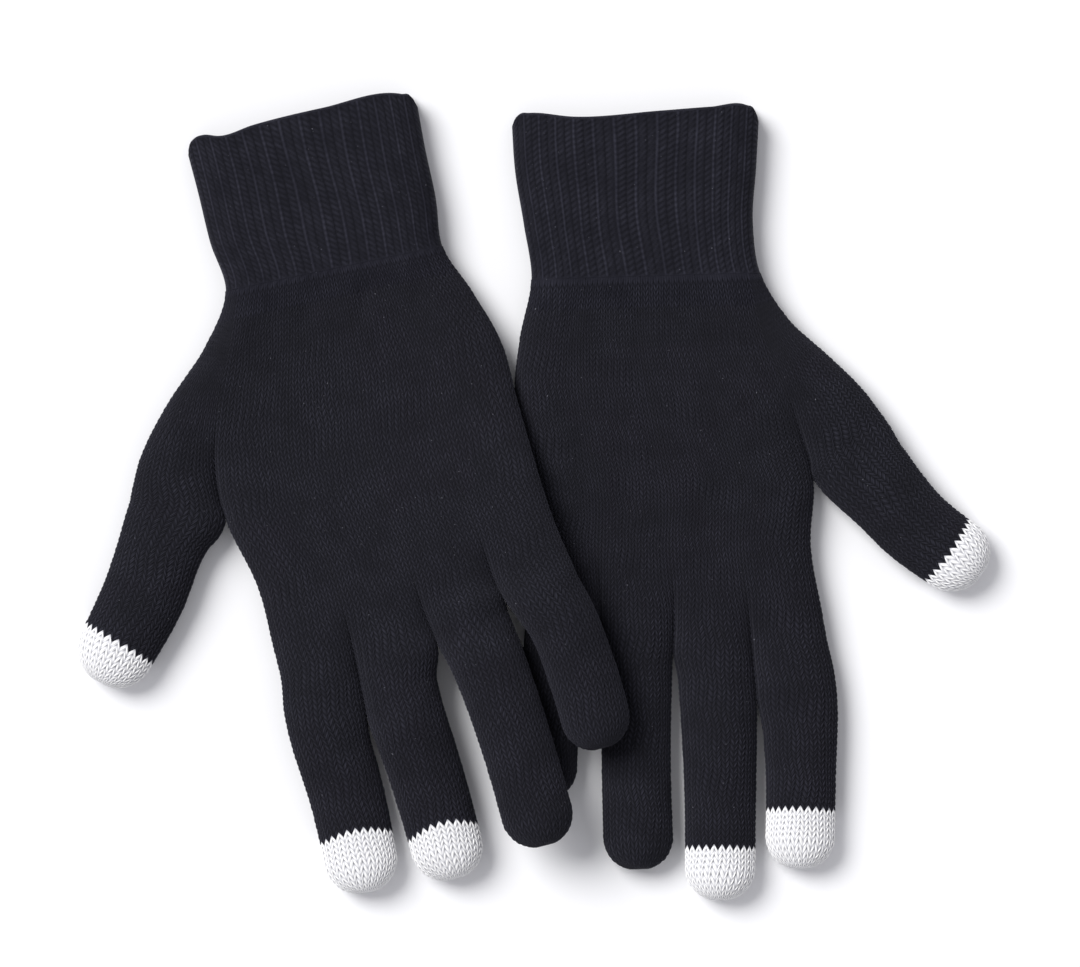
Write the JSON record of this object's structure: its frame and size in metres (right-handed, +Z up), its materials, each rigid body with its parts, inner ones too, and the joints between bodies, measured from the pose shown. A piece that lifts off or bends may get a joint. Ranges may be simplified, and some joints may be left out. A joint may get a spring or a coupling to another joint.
{
  "type": "touchscreen gloves",
  "caption": "Pair of black knitted stretch gloves with ribbed cuffs and pale conductive thumb, index and middle fingertips, laid flat, one partly on the other.",
  "frame": {"origin": "centre of the bounding box on the surface that the gloves lie on", "axes": "+X to the right across both gloves, +Y towards the cuffs, +Z up from the surface; palms face +Z"},
  "size_m": [0.2744, 0.2417, 0.0253],
  "materials": {
    "black_knit": "plain machine knit in soft black acrylic yarn, matt with a light halo of fibre",
    "black_welt": "turned and doubled hem of the same black knit",
    "elastic_yarn": "covered elastic yarn, matt",
    "conductive_knit": "plain machine knit in white conductive yarn, slightly silky"
  },
  "bodies": {
    "left_glove": {"left_hand": "black_knit", "left_ring_base": "black_knit", "left_little_base": "black_knit", "left_little_end": "black_knit"},
    "left_wrist": {"left_cuff": "black_knit", "left_cuff_welt": "black_welt", "left_elastic_threads": "elastic_yarn"},
    "left_thumb_root": {"left_thumb_base": "black_knit"},
    "left_thumb_tip": {"left_thumb_end": "black_knit", "left_thumb_touch_tip": "conductive_knit"},
    "left_index_root": {"left_index_base": "black_knit"},
    "left_index_tip": {"left_index_end": "black_knit", "left_index_touch_tip": "conductive_knit"},
    "left_middle_root": {"left_middle_base": "black_knit"},
    "left_middle_tip": {"left_middle_end": "black_knit", "left_middle_touch_tip": "conductive_knit"},
    "left_ring_tip": {"left_ring_end": "black_knit"},
    "right_glove": {"right_hand": "black_knit"},
    "right_wrist": {"right_cuff": "black_knit", "right_cuff_welt": "black_welt", "right_elastic_threads": "elastic_yarn"},
    "right_thumb_root": {"right_thumb_base": "black_knit"},
    "right_thumb_tip": {"right_thumb_end": "black_knit", "right_thumb_touch_tip": "conductive_knit"},
    "right_index_root": {"right_index_base": "black_knit"},
    "right_index_tip": {"right_index_end": "black_knit", "right_index_touch_tip": "conductive_knit"},
    "right_middle_root": {"right_middle_base": "black_knit"},
    "right_middle_tip": {"right_middle_end": "black_knit", "right_middle_touch_tip": "conductive_knit"},
    "right_ring_root": {"right_ring_base": "black_knit"},
    "right_ring_tip": {"right_ring_end": "black_knit"},
    "right_little_root": {"right_little_base": "black_knit"},
    "right_little_tip": {"right_little_end": "black_knit"}
  },
  "joints": [
    {"name": "left_wrist_bend", "type": "hinge", "parent": "left_glove", "child": "left_wrist", "pos_m": [0.0337, 0.066, 0.006], "axis": [0.9983, 0.0587, 0], "range_deg": [0, 60]},
    {"name": "left_thumb_root_bend", "type": "hinge", "parent": "left_glove", "child": "left_thumb_root", "pos_m": [0.0975, 0.0085, 0.006], "axis": [-0.6946, -0.7194, 0], "range_deg": [0, 50]},
    {"name": "left_thumb_middle_bend", "type": "hinge", "parent": "left_thumb_root", "child": "left_thumb_tip", "pos_m": [0.112, -0.0055, 0.006], "axis": [-0.5944, -0.8042, 0], "range_deg": [0, 70]},
    {"name": "left_index_root_bend", "type": "hinge", "parent": "left_glove", "child": "left_index_root", "pos_m": [0.0795, -0.062, 0.006], "axis": [-0.9994, -0.0333, 0], "range_deg": [0, 80]},
    {"name": "left_index_middle_bend", "type": "hinge", "parent": "left_index_root", "child": "left_index_tip", "pos_m": [0.0802, -0.083, 0.006], "axis": [-0.9998, 0.0175, 0], "range_deg": [0, 85]},
    {"name": "left_middle_root_bend", "type": "hinge", "parent": "left_glove", "child": "left_middle_root", "pos_m": [0.0553, -0.062, 0.006], "axis": [-0.9998, -0.0208, 0], "range_deg": [0, 80]},
    {"name": "left_middle_middle_bend", "type": "hinge", "parent": "left_middle_root", "child": "left_middle_tip", "pos_m": [0.0558, -0.086, 0.006], "axis": [-1, 0.0029, 0], "range_deg": [0, 85]},
    {"name": "left_ring_middle_bend", "type": "hinge", "parent": "left_glove", "child": "left_ring_tip", "pos_m": [0.031, -0.082, 0.006], "axis": [-0.9996, -0.0268, 0], "range_deg": [0, 85]},
    {"name": "right_glove_lift", "type": "slide", "parent": "left_glove", "child": "right_glove", "axis": [0, 0, 1], "range_m": [0, 0.12]},
    {"name": "right_wrist_bend", "type": "hinge", "parent": "right_glove", "child": "right_wrist", "pos_m": [-0.0598, 0.0687, 0.006], "axis": [0.9824, 0.1866, 0], "range_deg": [0, 60]},
    {"name": "right_thumb_root_bend", "type": "hinge", "parent": "right_glove", "child": "right_thumb_root", "pos_m": [-0.109, -0.01, 0.006], "axis": [-0.9353, 0.3539, 0], "range_deg": [0, 50]},
    {"name": "right_thumb_middle_bend", "type": "hinge", "parent": "right_thumb_root", "child": "right_thumb_tip", "pos_m": [-0.116, -0.0285, 0.006], "axis": [-0.8646, 0.5024, 0], "range_deg": [0, 70]},
    {"name": "right_index_root_bend", "type": "hinge", "parent": "right_glove", "child": "right_index_root", "pos_m": [-0.0615, -0.0695, 0.0082], "axis": [-0.9599, -0.2804, 0], "range_deg": [0, 80]},
    {"name": "right_index_middle_bend", "type": "hinge", "parent": "right_index_root", "child": "right_index_tip", "pos_m": [-0.0556, -0.0897, 0.0068], "axis": [-0.9797, -0.2007, 0], "range_deg": [0, 85]},
    {"name": "right_middle_root_bend", "type": "hinge", "parent": "right_glove", "child": "right_middle_root", "pos_m": [-0.0393, -0.06, 0.012], "axis": [-0.9531, -0.3025, 0], "range_deg": [0, 80]},
    {"name": "right_middle_middle_bend", "type": "hinge", "parent": "right_middle_root", "child": "right_middle_tip", "pos_m": [-0.032, -0.083, 0.009], "axis": [-0.9639, -0.2662, 0], "range_deg": [0, 85]},
    {"name": "right_ring_root_bend", "type": "hinge", "parent": "right_glove", "child": "right_ring_root", "pos_m": [-0.0128, -0.052, 0.0176], "axis": [-0.951, -0.3091, 0], "range_deg": [0, 80]},
    {"name": "right_ring_middle_bend", "type": "hinge", "parent": "right_ring_root", "child": "right_ring_tip", "pos_m": [-0.005, -0.076, 0.0181], "axis": [-0.9754, -0.2206, 0], "range_deg": [0, 85]},
    {"name": "right_little_root_bend", "type": "hinge", "parent": "right_glove", "child": "right_little_root", "pos_m": [0.0085, -0.037, 0.0196], "axis": [-0.9355, -0.3534, 0], "range_deg": [0, 80]},
    {"name": "right_little_middle_bend", "type": "hinge", "parent": "right_little_root", "child": "right_little_tip", "pos_m": [0.0153, -0.055, 0.019], "axis": [-0.9617, -0.2741, 0], "range_deg": [0, 85]}
  ]
}
